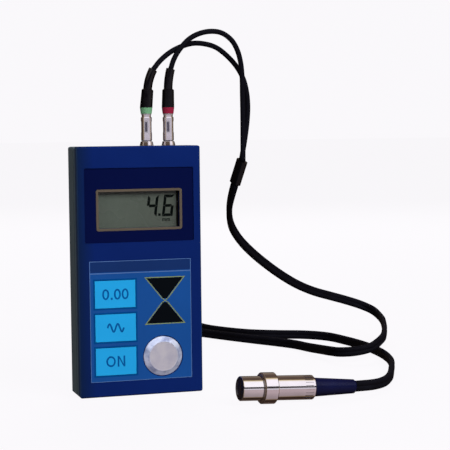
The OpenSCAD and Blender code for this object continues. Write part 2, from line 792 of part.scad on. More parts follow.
// A socket at x: threaded body through the top wall, flange under it, bore for the plug's core
module socket(x) {
  bore_r = core_d / 2 + core_gap;
  translate([x, 0, case_h]) rotate_extrude() polygon([[0, -socket_depth], [socket_r, -socket_depth],
    [socket_r, -wall - socket_flange_t], [socket_flange_r, -wall - socket_flange_t],
    [socket_flange_r, -wall], [socket_neck_r, -wall], [socket_neck_r, socket_top], [bore_r, socket_top],
    [bore_r, -socket_bore_depth], [0, -socket_bore_depth]]);
}

module socket_green() color(metal) socket(plug_green_x);
module socket_red() color(metal) socket(plug_red_x);

module socket_nut(x) {
  hole_r = socket_neck_r + core_gap;
  translate([x, 0, case_h]) rotate_extrude() polygon([[hole_r, 0], [nut_base_r, 0], [nut_base_r, nut_chamfer],
    [nut_top_r, nut_h], [hole_r, nut_h]]);
}

module socket_nut_green() color(metal) socket_nut(plug_green_x);
module socket_nut_red() color(metal) socket_nut(plug_red_x);

// The plug's inner piece: core in the socket, collet nut under the ring, spigot for ring and boot
module plug_core(x) {
  translate([x, 0, case_h]) rotate_extrude() polygon([[0, core_play - socket_bore_depth],
    [core_d / 2, core_play - socket_bore_depth], [core_d / 2, core_top], [collar_nut_r, core_top],
    [collar_nut_r, ring_base], [spigot_r, ring_base], [spigot_r, ring_base + spigot_h],
    [0, ring_base + spigot_h]]);
}

module plug_core_green() color(metal) plug_core(plug_green_x);
module plug_core_red() color(metal) plug_core(plug_red_x);

// The sliding shell with its milled grip pockets
module plug_shell(x) {
  r = plug_d / 2;
  translate([x, 0, case_h + shell_low]) difference() {
    rotate_extrude() polygon([[core_d / 2 + core_gap, 0], [r - shell_edge / 2, 0], [r, shell_edge],
      [r, shell_len - shell_edge], [r - shell_edge / 2, shell_len], [core_d / 2 + core_gap, shell_len]]);
    for (i = [0 : pocket_count - 1]) rotate([0, 0, pocket_turn + 360 * i / pocket_count])
      translate([0, -r, pocket_rise]) rotate([90, 0, 0])
      translate([0, 0, -pocket_depth]) linear_extrude(pocket_depth + over) {
        translate([-pocket_w / 2, pocket_w / 2]) square([pocket_w, pocket_len - pocket_w]);
        translate([0, pocket_w / 2]) circle(pocket_w / 2);
        translate([0, pocket_len - pocket_w / 2]) circle(pocket_w / 2);
      }
  }
}

module plug_shell_green() color(metal) plug_shell(plug_green_x);
module plug_shell_red() color(metal) plug_shell(plug_red_x);

module colour_ring(x) {
  hole_r = spigot_r + core_gap;
  translate([x, 0, case_h + ring_base]) difference() {
    cylinder(h = ring_h, r1 = plug_d / 2, r2 = boot_low_r);
    translate([0, 0, -over]) cylinder(h = ring_h + 2 * over, r = hole_r);
  }
}

module ring_green() color("#55a578") colour_ring(plug_green_x);
module ring_red() color("#96143c") colour_ring(plug_red_x);

// Rubber boot: a slim bell with a soft upper edge, leaning to the right, cut flat on the ring
// and bored upright for the spigot
module boot(x, lean) {
  translate([x, 0, case_h + boot_base]) difference() {
    rotate([0, lean, 0]) rotate_extrude() polygon([[0, -boot_dip], [boot_low_r, -boot_dip],
      [boot_low_r, boot_lip], [boot_top_r, boot_len - boot_lip],
      [boot_top_r - boot_lip, boot_len], [0, boot_len]]);
    translate([0, 0, -2 * boot_dip]) cylinder(h = 2 * boot_dip, r = 2 * boot_low_r);
    translate([0, 0, -over]) cylinder(h = spigot_h - ring_h + over + core_gap, r = spigot_r + core_gap);
  }
}

module boot_green() color(black_rubber) boot(plug_green_x, green_lean);
module boot_red() color(black_rubber) boot(plug_red_x, red_lean);

// Bent sleeve on the lead above a boot, bending on to the right from the boot's lean
module lead_sleeve(x, lean, bend_r, angle) {
  translate([x, 0, case_h + boot_base]) rotate([0, lean, 0]) translate([bend_r, 0, boot_len])
    rotate([90, 0, 0]) rotate([0, 0, 180 - angle])
      rotate_extrude(angle = angle) translate([bend_r, 0]) circle(sleeve_r);
}

module lead_sleeve_green() color(black_rubber)
  lead_sleeve(plug_green_x, green_lean, green_sleeve_bend_r, green_sleeve_angle);
module lead_sleeve_red() color(black_rubber)
  lead_sleeve(plug_red_x, red_lean, red_sleeve_bend_r, red_sleeve_angle);

// Round outline of a thin lead
function ring_outline(r, n) = [for (j = [0 : n - 1]) let (a = 360 * (j + 0.5) / n) r * [cos(a), sin(a)]];

module cord_green() color(black_rubber)
  sweep(cord_green_route, ring_outline(lead_d / 2, lead_sides), [0, 1, 0]);
module cord_red() color(black_rubber)
  sweep(cord_red_route, ring_outline(lead_d / 2, lead_sides), [0, 1, 0]);
module cord_twin() color(black_rubber)
  sweep(cord_twin_route, [for (s = twin_outline_shares) [s[0] * twin_t / 2, s[1] * twin_w / 2]], [0, 0, 1]);

module joint_sleeve() color(black_rubber) {
  run = joint_from - joint_to;
  translate(joint_to) rotate([0, acos(run[2] / norm(run)), atan2(run[1], run[0])]) linear_extrude(norm(run)) {
    square([joint_w - joint_t, joint_t], center = true);
    for (side = [-1, 1]) translate([side * (joint_w - joint_t) / 2, 0]) circle(joint_t / 2);
  }
}

// Two short leads inside the case, from the sockets down and over to the main board
module inner_leads() color("#8a2020") for (x = [plug_green_x, plug_red_x]) {
  low_z = case_h - socket_depth - inner_lead_drop;
  translate([x, 0, low_z]) cylinder(h = inner_lead_drop, r = inner_lead_r);
  translate([x, 0, low_z]) sphere(inner_lead_r);
  bar(x, low_z, inner_lead_r, chip_y, 0);
}

// Places its children on the probe's axis: origin at the face's middle, +Z towards the boot
module on_probe() {
  translate([probe_x, -probe_y, probe_z]) rotate([0, 90 + probe_tilt, probe_yaw]) children();
}

module probe_nose() color(metal) on_probe()
  rotate_extrude() polygon([[nose_d / 2 - nose_wall, 0], [nose_d / 2 - probe_chamfer / 2, 0],
    [nose_d / 2, probe_chamfer / 2], [nose_d / 2, nose_len], [nose_d / 2 - nose_wall, nose_len]]);

module probe_body() color(metal) on_probe() difference() {
  rotate_extrude() polygon([[0, nose_len], [collar_d / 2 - probe_chamfer, nose_len],
    [collar_d / 2, nose_len + probe_chamfer], [collar_d / 2, nose_len + collar_len - probe_chamfer],
    [collar_d / 2 - probe_chamfer, nose_len + collar_len], [barrel_d / 2 - seam_depth, nose_len + collar_len],
    [barrel_d / 2 - seam_depth, nose_len + collar_len + seam_w],
    [barrel_d / 2, nose_len + collar_len + seam_w], [barrel_d / 2, probe_len - knurl_end],
    [barrel_d / 2 - knurl_end, probe_len], [neck_r, probe_len],
    [neck_r, probe_len + neck_len], [0, probe_len + neck_len]]);
  // knurl: fine grooves along the axis near the rear end
  for (i = [0 : knurl_count - 1]) rotate([0, 0, 360 * i / knurl_count])
    translate([barrel_d / 2 - knurl_depth, -knurl_w / 2, probe_len - knurl_end - knurl_len])
      cube([over, knurl_w, knurl_len - knurl_end]);
}

module probe_boot() color("#161850") on_probe() difference() {
  rotate_extrude() polygon([[0, probe_len], [probe_boot_r, probe_len],
    [probe_boot_end_r, probe_len + probe_boot_len - probe_boot_round],
    [probe_boot_end_r - probe_boot_round, probe_len + probe_boot_len], [0, probe_len + probe_boot_len]]);
  translate([0, 0, probe_len - over]) cylinder(h = neck_len + over + core_gap, r = neck_r + core_gap);
}

// Half of the round block behind the probe's face; side is -1 or 1
module half_block(side) {
  block_r = nose_d / 2 - nose_wall - block_gap;
  on_probe() translate([0, 0, face_inset]) intersection() {
    cylinder(h = block_len, r = block_r);
    translate([-block_r, side > 0 ? barrier_t / 2 + block_gap : -block_r, 0])
      cube([2 * block_r, block_r - barrier_t / 2 - block_gap, block_len]);
  }
}

module transmit_block() color("#3a2f28") half_block(1);
module receive_block() color("#3a2f28") half_block(-1);

module sound_barrier() color("#8b6b45") on_probe() {
  barrier_w = nose_d - 2 * nose_wall - barrier_t;
  translate([-barrier_w / 2, -barrier_t / 2, face_inset]) cube([barrier_w, barrier_t, block_len]);
}

module damping_block() color("#4a4a4a") on_probe() translate([0, 0, face_inset + block_len])
  cylinder(h = nose_len - face_inset - block_len, r = nose_d / 2 - nose_wall - block_gap);

module case_screws() color(steel) for (side = [-1, 1]) for (z = [case_screw_low_z, case_screw_high_z])
  difference() {
    union() {
      bar(side * case_screw_x, z, case_screw_r - core_gap, face_y + front_wall + over,
        back_y - case_screw_well_depth);
      bar(side * case_screw_x, z, case_screw_head_r, back_y - case_screw_well_depth,
        back_y - case_screw_well_depth + case_screw_head_h);
    }
    for (turn = [0, 90])
      translate([side * case_screw_x, back_y - case_screw_well_depth + case_screw_head_h, z])
        rotate([0, turn, 0]) cube([2 * case_screw_r, 2 * driver_slot_depth, driver_slot_w], center = true);
  }

// One small screw with its head against y
module small_screw(x, z, y) {
  bar(x, z, screw_r - core_gap, y - screw_bite - board_t + over, y);
  bar(x, z, screw_head_r, y, y + screw_head_h);
}

module board_screws() color(steel) for (side = [-1, 1]) for (z = board_post_rows)
  small_screw(side * board_post_x, z, board_y + board_t);

front_shell();
rear_shell();
battery_door();
battery_left();
battery_right();
battery_springs();
battery_plates();
main_board();
keypad_board();
keypad_ribbon();
processor_chip();
receiver_chip();
quartz_crystal();
capacitors();
lcd_glass();
lcd_holder();
zebra_strips();
display_window();
display_frame();
display_panel();
keypad_overlay();
key_zero();
key_velocity();
key_on();
key_down();
key_up();
dome_switches();
test_disc();
socket_green();
socket_red();
socket_nut_green();
socket_nut_red();
plug_core_green();
plug_core_red();
plug_shell_green();
plug_shell_red();
ring_green();
ring_red();
boot_green();
boot_red();
lead_sleeve_green();
lead_sleeve_red();
cord_green();
cord_red();
joint_sleeve();
cord_twin();
inner_leads();
probe_nose();
probe_body();
probe_boot();
transmit_block();
receive_block();
sound_barrier();
damping_block();
case_screws();
board_screws();
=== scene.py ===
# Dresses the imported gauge: camera, leads, materials, printed details, floor and studio light.
# Shapes are given in millimetres.
import math
import bpy
from mathutils import Matrix, Vector


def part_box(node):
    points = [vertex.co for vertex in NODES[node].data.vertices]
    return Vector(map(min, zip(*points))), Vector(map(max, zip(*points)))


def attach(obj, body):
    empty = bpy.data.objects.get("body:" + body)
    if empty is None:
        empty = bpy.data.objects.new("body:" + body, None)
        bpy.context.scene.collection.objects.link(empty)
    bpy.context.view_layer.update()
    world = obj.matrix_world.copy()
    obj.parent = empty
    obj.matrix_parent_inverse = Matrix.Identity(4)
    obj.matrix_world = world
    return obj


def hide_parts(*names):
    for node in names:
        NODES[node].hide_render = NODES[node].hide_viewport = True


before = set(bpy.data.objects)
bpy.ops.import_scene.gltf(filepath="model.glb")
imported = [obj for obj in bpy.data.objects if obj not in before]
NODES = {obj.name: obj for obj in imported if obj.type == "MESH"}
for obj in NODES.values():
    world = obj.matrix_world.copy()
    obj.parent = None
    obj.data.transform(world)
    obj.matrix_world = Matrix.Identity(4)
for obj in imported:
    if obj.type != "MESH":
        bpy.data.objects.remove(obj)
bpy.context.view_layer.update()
SCENE = bpy.context.scene
MM = 0.001
ORIGIN, X_AXIS, Y_AXIS, Z_AXIS = (0, 0, 0), (1, 0, 0), (0, 1, 0), (0, 0, 1)

# ---------------------------------------------------------------- camera, fitted to the photograph

CAMERA_AT = (-173.9, -719.7, 131.4)
CAMERA_TURN = (-17.16, -3.58, 0.65)  # yaw, pitch and roll in degrees
CAMERA_LENS, CAMERA_SENSOR = 116, 36
CAMERA_NEAR, CAMERA_FAR = 0.01, 100  # metres


def make_camera():
    yaw, pitch, roll = (math.radians(a) for a in CAMERA_TURN)
    turn = Matrix.Rotation(yaw, 3, "Z") @ Matrix.Rotation(pitch, 3, "X") @ Matrix.Rotation(roll, 3, "Y")
    right, forward, up = turn.col
    cam = bpy.data.cameras.new("camera")
    cam.lens, cam.sensor_width = CAMERA_LENS, CAMERA_SENSOR
    cam.clip_start, cam.clip_end = CAMERA_NEAR, CAMERA_FAR
    obj = bpy.data.objects.new("camera", cam)
    SCENE.collection.objects.link(obj)
    view = Matrix((right, up, -forward)).transposed().to_4x4()
    view.translation = Vector(CAMERA_AT) * MM
    obj.matrix_world = view
    SCENE.camera = obj


make_camera()

# ---------------------------------------------------------------- node trees


class Tree:
    """Shorthand for building the node tree of a material or of the world."""

    def __init__(self, owner):
        owner.use_nodes = True
        self.tree = owner.node_tree
        self.tree.nodes.clear()

    def node(self, kind, **props):
        n = self.tree.nodes.new(kind)
        for k, v in props.items():
            setattr(n, k, v)
        return n

    def link(self, a, b):
        self.tree.links.new(a, b)

    def feed(self, socket, value):
        """A number or a colour is set on the socket itself, an output is linked to it."""
        if isinstance(value, (int, float, tuple)):
            socket.default_value = value
        else:
            self.link(value, socket)

    def math(self, op, *values):
        n = self.node("ShaderNodeMath", operation=op)
        for socket, v in zip(n.inputs, values):
            self.feed(socket, v)
        return n.outputs[0]

    def mix(self, factor, a, b, blend="MIX"):
        n = self.node("ShaderNodeMix", data_type="RGBA", blend_type=blend)
        for i, v in ((0, factor), (6, a), (7, b)):
            self.feed(n.inputs[i], v)
        return n.outputs[2]

    def ramp(self, value, stops):
        """Colours along a value. The first two stops are its two ends."""
        n = self.node("ShaderNodeValToRGB")
        items = n.color_ramp.elements
        for i, (position, colour) in enumerate(stops):
            item = items[i] if i < 2 else items.new(position)
            item.position, item.color = position, colour + (1,)
        self.link(value, n.inputs[0])
        return n.outputs[0]


class Graph(Tree):
    """One material round a Principled shader, textured in object coordinates."""

    def __init__(self, name):
        self.mat = bpy.data.materials.new(name)
        super().__init__(self.mat)
        self.bsdf = self.node("ShaderNodeBsdfPrincipled")
        self.link(self.bsdf.outputs[0], self.node("ShaderNodeOutputMaterial").inputs["Surface"])
        self.coord = self.node("ShaderNodeTexCoord").outputs["Object"]

    def set(self, **values):
        """Feeds the shader's sockets; an underscore stands for a space in a socket's name."""
        for k, v in values.items():
            self.feed(self.bsdf.inputs[k.replace("_", " ")], v)

    def noise(self, scale, detail=3.0, rough=0.5):
        n = self.node("ShaderNodeTexNoise")
        for k, v in (("Scale", scale), ("Detail", detail), ("Roughness", rough), ("Vector", self.coord)):
            self.feed(n.inputs[k], v)
        return n.outputs[0]

    def lines(self, along, scale):
        """Noise that changes in one direction only, as lathe marks do."""
        n = self.node("ShaderNodeTexNoise", noise_dimensions="1D")
        for k, v in (("Scale", scale), ("Detail", 2.0), ("W", along)):
            self.feed(n.inputs[k], v)
        return n.outputs[0]

    def remap(self, value, lo, hi, from_lo=0.3, from_hi=0.7):
        """A value stretched to lo and hi, by default from the range that a noise really fills."""
        n = self.node("ShaderNodeMapRange")
        for k, v in (("From Min", from_lo), ("From Max", from_hi), ("To Min", lo), ("To Max", hi), ("Value", value)):
            self.feed(n.inputs[k], v)
        return n.outputs[0]

    def axis(self, origin, direction):
        """Distance in metres along a direction from a point."""
        sub = self.node("ShaderNodeVectorMath", operation="SUBTRACT")
        self.link(self.coord, sub.inputs[0])
        sub.inputs[1].default_value = origin
        dot = self.node("ShaderNodeVectorMath", operation="DOT_PRODUCT")
        self.link(sub.outputs[0], dot.inputs[0])
        dot.inputs[1].default_value = direction
        return dot.outputs["Value"]

    def bump(self, height, strength, distance):
        n = self.node("ShaderNodeBump")
        for k, v in (("Strength", strength), ("Distance", distance), ("Height", height)):
            self.feed(n.inputs[k], v)
        return n.outputs[0]


# ---------------------------------------------------------------- kinds of material

PLASTIC_GRAIN, PLASTIC_DEPTH = 2600, 0.00004
RUBBER_DEPTH = 0.00006
LATHE_LINES, LATHE_DEPTH = 1 / 0.00012, 0.000012
TARNISH = 0.12


def srgb(r, g, b):
    """Linear colour from 0-255 screen values."""
    def lin(c):
        c /= 255
        return c / 12.92 if c <= 0.04045 else ((c + 0.055) / 1.055) ** 2.4
    return (lin(r), lin(g), lin(b), 1.0)


def shade(colour, k):
    """A colour made k times as bright."""
    return tuple(min(1, c * k) for c in colour[:3]) + (1.0,)


def plastic(name, colour, rough=0.42, spec=0.2, var=0.07, var_scale=45, grain=0.25, tint=None):
    """Moulded plastic: fine grain, slight unevenness of colour and gloss. A tint colours some places of it anew."""
    g = Graph(name)
    base = g.mix(g.remap(g.noise(var_scale, 4), 0, 1), shade(colour, 1 - var), shade(colour, 1 + var))
    if tint:
        base = tint(g, base)
    g.set(Base_Color=base, Specular_IOR_Level=spec,
          Roughness=g.remap(g.noise(220, 3), rough - 0.05, rough + 0.05),
          Normal=g.bump(g.noise(PLASTIC_GRAIN, 2), grain, PLASTIC_DEPTH))
    return g.mat


def rubber(name, colour, rough=0.5, spec=0.3, grain=0.35, scale=1500):
    """Soft rubber: slightly dusty, finely pitted."""
    g = Graph(name)
    dust = g.remap(g.noise(90, 5, 0.6), 0, 1, 0.45, 0.75)
    g.set(Base_Color=g.mix(dust, colour, shade(colour, 1.5)), Specular_IOR_Level=spec,
          Roughness=g.remap(g.noise(300, 2), rough - 0.07, rough + 0.07),
          Normal=g.bump(g.noise(scale, 3), grain, RUBBER_DEPTH))
    return g.mat


def turned(name, colour, origin, direction, rough=0.2, marks=0.35, extra=None):
    """Turned metal: fine lathe marks round an axis, slightly uneven polish. Where extra's factor is 1 it is dull, in
    extra's colour."""
    g = Graph(name)
    along = g.axis(origin, direction)
    cuts = g.lines(along, LATHE_LINES)
    tone, metal = g.mix(g.remap(g.noise(140, 4), 0, 1), shade(colour, 1 - TARNISH), colour), 1.0
    if extra:
        factor, dark = extra(g, along)
        tone, metal = g.mix(factor, tone, dark), g.remap(factor, 1, 0.1, 0, 1)
    g.set(Base_Color=tone, Metallic=metal, Normal=g.bump(cuts, marks, LATHE_DEPTH),
          Roughness=g.math("ADD", g.remap(cuts, rough - 0.04, rough + 0.04), g.remap(g.noise(400, 3), 0, 0.04)))
    return g.mat


def dress(mat, *names):
    """Gives each named CAD node one material."""
    for name in names:
        mesh = NODES[name].data
        mesh.materials.clear()
        mesh.materials.append(mat)
        for p in mesh.polygons:
            p.material_index = 0


def dress_all(make, rows):
    """Each row is a material's name, its screen colour, its settings and the nodes that wear it."""
    for name, colour, settings, nodes in rows:
        dress(make(name, srgb(*colour), **settings), *nodes)


# ---------------------------------------------------------------- mesh helpers

MITRE_LEAST = 0.35  # keeps the corners of sharp bends short


def new_mesh(name, verts, faces, mat, body, smooth=False):
    """A piece from points in millimetres that rides on a body."""
    me = bpy.data.meshes.new(name)
    me.from_pydata([Vector(v) * MM for v in verts], [], faces)
    me.validate()
    me.update()
    obj = bpy.data.objects.new(name, me)
    SCENE.collection.objects.link(obj)
    me.materials.append(mat)
    for p in me.polygons:
        p.use_smooth = smooth
    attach(obj, body)
    return obj


def anticlockwise(pts):
    area = sum(pts[i - 1][0] * p[1] - p[0] * pts[i - 1][1] for i, p in enumerate(pts))
    return pts if area > 0 else pts[::-1]


def flat_parts(name, outlines, y_front, y_back, mat, body):
    """Thin plates whose outlines are in X and Z, all in one piece."""
    verts, faces = [], []
    for pts in map(anticlockwise, outlines):
        b, n = len(verts), len(pts)
        verts += [(x, y_front, z) for x, z in pts] + [(x, y_back, z) for x, z in pts]
        faces.append([b + i for i in range(n)])
        faces.append([b + n + i for i in reversed(range(n))])
        faces += [[b + i, b + n + i, b + n + (i + 1) % n, b + (i + 1) % n] for i in range(n)]
    return new_mesh(name, verts, faces, mat, body)


def span(x0, z0, x1, z1):
    """A rectangle's outline between two corners."""
    return [(x0, z0), (x1, z0), (x1, z1), (x0, z1)]


def rect(cx, cz, w, h):
    """A rectangle's outline round its centre."""
    return span(cx - w / 2, cz - h / 2, cx + w / 2, cz + h / 2)


def oval(cx, cz, rx, rz, n=28):
    turns = (2 * math.pi * i / n for i in range(n))
    return [(cx + rx * math.cos(a), cz + rz * math.sin(a)) for a in turns]


def frame_outline(pts, width):
    """Quads that follow a closed outline on its outer side, one for each of its sides."""
    n = len(pts)
    centre = Vector((sum(p[0] for p in pts) / n, sum(p[1] for p in pts) / n))
    outer = []
    for i in range(n):
        a, b, c = Vector(pts[i - 1]), Vector(pts[i]), Vector(pts[(i + 1) % n])
        before = Vector((b.y - a.y, a.x - b.x)).normalized()
        after = Vector((c.y - b.y, b.x - c.x)).normalized()
        if before.dot(b - centre) < 0:
            before, after = -before, -after
        mitre = (before + after).normalized()
        outer.append(tuple(b + mitre * (width / max(MITRE_LEAST, mitre.dot(before)))))
    return [[pts[i], pts[(i + 1) % n], outer[(i + 1) % n], outer[i]] for i in range(n)]


def stroke(points, width, closed=False):
    """Quads that share their mitred ends along a drawn line in X and Z, so that none overlap."""
    pts, sides = [Vector(p) for p in points], []
    n = len(pts)
    for i, p in enumerate(pts):
        before = (p - pts[i - 1]).normalized() if closed or i > 0 else (pts[1] - p).normalized()
        after = (pts[(i + 1) % n] - p).normalized() if closed or i < n - 1 else before
        along = (before + after).normalized()
        mitre = Vector((along.y, -along.x))
        k = width / 2 / max(MITRE_LEAST, mitre.dot(Vector((before.y, -before.x))))
        sides.append((tuple(p + mitre * k), tuple(p - mitre * k)))
    ends = zip(sides, sides[1:] + sides[:1]) if closed else zip(sides, sides[1:])
    return [[a[0], b[0], b[1], a[1]] for a, b in ends]


def box_mm(name):
    """The lower and the upper corner of a CAD node in millimetres."""
    return [[v / MM for v in corner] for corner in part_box(name)]


# ---------------------------------------------------------------- leads

LEAD_R, LEAD_SIDES = 1.35, 16
LEAD_STEPS, TWIN_STEPS = 5, 4  # sections from one point of a centre line to the next
TWIN_R, TWIN_OUT, TWIN_WEB = 1.6, 1.2, 1.1  # one jacket's radius, its centre from the middle, half the web

# centre lines of the leads; each starts in its plug's sleeve or in the joint sleeve
GREEN = [(10.7, 0, 164.4), (15.2, 1, 169.5), (21.2, 2.5, 174), (27.5, 4, 176.9), (33.7, 5, 178.5),
         (40.6, 6.5, 178.3), (46.8, 7.5, 176.6), (52.8, 8.5, 172.6), (58.6, 9.5, 166.8), (62.3, 10, 160.6),
         (64.2, 10.5, 154.3), (64.9, 10.5, 146.7), (64.5, 10.5, 138.8), (62.9, 10, 128.5), (60.5, 9, 117.5)]
RED = [(20.2, 0, 164.9), (21.8, 0, 169.6), (24.7, 0, 174.5), (30, 0.5, 180.1), (35.8, 1, 183.2),
       (42.4, 1.5, 184.5), (48.7, 2.5, 183.7), (53.9, 3, 180.2), (57.1, 3.8, 175.5), (59.1, 4.5, 169.6),
       (60.1, 5, 162.2), (60.4, 5.5, 151.8), (60.5, 5.5, 139.5), (60.4, 5.5, 127.2), (60.5, 6, 117)]
TWIN = [(58, 12.5, 105.5), (57.8, 18, 99), (59.1, 26.5, 92), (64.4, 41, 82), (74.2, 57, 72.5), (87, 74, 63.4),
        (101.7, 91.5, 54.4), (117.1, 108.5, 45.8), (133, 124, 37.9), (149.1, 137, 31.5), (164.1, 146, 26.9),
        (177, 150.5, 23), (186.5, 150, 19.7), (192.1, 144, 16.7), (192.7, 132.5, 13.4), (182.5, 103.3, 12.2),
        (172.1, 79, 11.6), (161.8, 58.8, 11), (151.8, 48.5, 8.5), (145, 43.9, 7.7), (137.2, 44.3, 6.8),
        (131, 49, 6.2), (128.6, 56, 5.9), (128.4, 70, 4.8), (127, 88, 3.7), (124.3, 110.3, 2.9),
        (106.3, 142.3, 2.9), (95.7, 161.7, 2.9), (85.8, 181.3, 2.9), (75, 201, 2.9), (66, 218, 2.9),
        (62.5, 234, 2.9), (66.6, 243.9, 2.9), (76.5, 248, 2.9), (86.4, 243.9, 2.9), (90.5, 234, 2.9),
        (93.2, 216, 2.9), (96.5, 196.9, 2.9), (103.6, 180.9, 2.9), (115.2, 164.3, 2.9), (130.7, 153.5, 2.9),
        (146, 145.5, 2.9), (156, 133.2, 2.9), (160.2, 113.2, 2.9), (162.3, 89.4, 2.9), (161.5, 65.4, 2.9),
        (157.8, 42.5, 2.9), (151.5, 21.5, 2.9), (142.3, 0.8, 2.9), (132.5, -19.5, 2.9), (121.5, -37, 3.5),
        (110.5, -48.5, 4.5), (98, -54.5, 5.4)]


def blend(a, b, ta, tb, t):
    return a * ((tb - t) / (tb - ta)) + b * ((t - ta) / (tb - ta))


def smooth_path(points, steps):
    """Centripetal curve through every point."""
    pts = [Vector(p) for p in points]
    ext = [pts[0] * 2 - pts[1]] + pts + [pts[-1] * 2 - pts[-2]]
    out = []
    for i in range(1, len(ext) - 2):
        p0, p1, p2, p3 = ext[i - 1:i + 3]
        t0 = 0.0
        t1 = t0 + (p1 - p0).length ** 0.5
        t2 = t1 + (p2 - p1).length ** 0.5
        t3 = t2 + (p3 - p2).length ** 0.5
        for k in range(steps):
            t = t1 + (t2 - t1) * k / steps
            a1, a2, a3 = blend(p0, p1, t0, t1, t), blend(p1, p2, t1, t2, t), blend(p2, p3, t2, t3, t)
            out.append(blend(blend(a1, a2, t0, t2, t), blend(a2, a3, t1, t3, t), t1, t2, t))
    out.append(pts[-1])
    return out


def swept(name, path, section, toward, mat):
    """A tube with the given section (side, up) along a path, its up axis as near as can be to toward."""
    verts, faces, n = [], [], len(section)
    for i, p in enumerate(path):
        t = (path[min(i + 1, len(path) - 1)] - path[max(i - 1, 0)]).normalized()
        up = (toward - t * toward.dot(t)).normalized()
        side = t.cross(up)
        verts += [tuple(p + side * a + up * b) for a, b in section]
    for i in range(len(path) - 1):
        for j in range(n):
            a, b = i * n + j, i * n + (j + 1) % n
            faces.append((a, a + n, b + n, b))
    faces.append(list(range(n)))
    faces.append([(len(path) - 1) * n + j for j in reversed(range(n))])
    return new_mesh(name, verts, faces, mat, "gauge", smooth=True)


def twin_section(n=9):
    """Two round jackets side by side, joined by a narrower web; wide along the second axis."""
    pts = []
    for sign, start in ((1, -38), (-1, 142)):
        for i in range(n):
            a = math.radians(start + 256 * i / (n - 1))
            pts.append((TWIN_R * math.cos(a), sign * TWIN_OUT + TWIN_R * math.sin(a)))
        pts.append((-TWIN_WEB * sign, 0))
    return pts


def make_leads():
    lead_mat = rubber("lead_rubber", srgb(9, 9, 15), rough=0.6, spec=0.06, grain=0.25, scale=1200)
    section = oval(0, 0, LEAD_R, LEAD_R, LEAD_SIDES)
    for name, route in (("green", GREEN), ("red", RED)):
        path = smooth_path(route, LEAD_STEPS)
        obj = swept("lead_" + name, path, section, Vector(Y_AXIS), lead_mat)
        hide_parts("cord_" + name)
    path = smooth_path(TWIN, TWIN_STEPS)
    obj = swept("lead_twin", path, twin_section(), Vector(Z_AXIS), lead_mat)
    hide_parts("cord_twin")


make_leads()

# ---------------------------------------------------------------- plastics and rubbers

# a pair holds the two places between which a colour fades into the next
LEFT_SHADE = (-0.0316, -0.0235)  # painted shade, from the face's left edge inward
SIDE = (0.0312, 0.0318)    # where the face turns into the sides, which are painted greyer as shade and reflected grey
GROOVE_HIGHLIGHT = (-0.0086, -0.0066)   # along the sides, towards the groove, where a painted highlight pales them
CELL_BAND = (0.047, 0.0472)

PLASTICS = (
    ("case_grey", (80, 93, 99), dict(rough=0.55, spec=0.04, var=0.06, grain=0.4), ("rear_shell", "battery_door")),
    ("panel_film", (4, 11, 52), dict(rough=0.35, spec=0.03, var=0.05, grain=0.08), ("display_panel",)),
    ("frame_bronze", (82, 73, 63), dict(rough=0.36, spec=0.15, var=0.08, grain=0.1), ("display_frame",)),
    ("overlay_film", (22, 68, 132), dict(rough=0.4, spec=0.04, var=0.05, grain=0.12), ("keypad_overlay",)),
    ("key_film", (32, 148, 208), dict(rough=0.38, spec=0.05, var=0.03, grain=0.1),
     ("key_zero", "key_velocity", "key_on")),
    ("key_black", (5, 8, 12), dict(rough=0.42, spec=0.03, var=0.1, grain=0.1), ("key_down", "key_up")),
    ("ring_green", (104, 154, 116), dict(rough=0.38, spec=0.15, var=0.05, grain=0.1), ("ring_green",)),
    ("ring_red", (132, 28, 54), dict(rough=0.38, spec=0.12, var=0.05, grain=0.1), ("ring_red",)),
    # inside the probe
    ("wedge_resin", (20, 13, 12), dict(rough=0.4, spec=0.15, var=0.15), ("transmit_block", "receive_block")),
    ("cork", (52, 38, 34), dict(rough=0.8, spec=0.05, var=0.3, var_scale=900), ("sound_barrier",)),
    ("damping", (60, 60, 62), dict(rough=0.7, spec=0.1), ("damping_block",)),
    # inside the case
    ("board_mask", (26, 92, 52), dict(rough=0.3, spec=0.4, var=0.12, var_scale=180, grain=0.1),
     ("main_board", "keypad_board")),
    ("ribbon", (176, 128, 56), dict(rough=0.3, spec=0.4), ("keypad_ribbon",)),
    ("chip_black", (26, 26, 28), dict(rough=0.5, spec=0.3), ("processor_chip", "receiver_chip")),
    ("capacitor_blue", (36, 52, 112), dict(rough=0.35, spec=0.4), ("capacitors",)),
    ("holder_white", (214, 212, 204), dict(rough=0.5, spec=0.3), ("lcd_holder",)),
)
RUBBERS = (
    ("boot_rubber", (8, 6, 10), dict(rough=0.2, spec=0.2, grain=0.08),
     ("boot_green", "boot_red", "lead_sleeve_green", "lead_sleeve_red", "joint_sleeve")),
    ("probe_boot_rubber", (7, 10, 42), dict(rough=0.34, spec=0.12, grain=0.15), ("probe_boot",)),
    ("zebra", (44, 44, 46), {}, ("zebra_strips",)),
    ("inner_wire", (126, 30, 30), {}, ("inner_leads",)),
)


def case_painted_light(g, base):
    """Painted light on the navy: painted shade at the face's left edge, the sides painted greyer as shade and
    reflected grey, and a paler painted highlight along them next to the groove.
    """
    x, y = g.axis(ORIGIN, X_AXIS), g.axis(ORIGIN, Y_AXIS)
    # painted shade: the face's left edge fades into a darker navy
    left_shaded = g.mix(g.remap(x, 1, 0, *LEFT_SHADE), base, srgb(12, 28, 60))
    # painted shade and reflection on the sides, paling into a painted highlight towards the groove
    side = g.mix(g.remap(y, 0, 1, *GROOVE_HIGHLIGHT), srgb(33, 50, 78), srgb(76, 93, 102))
    return g.mix(g.remap(g.math("ABSOLUTE", x), 0, 1, *SIDE), left_shaded, side)


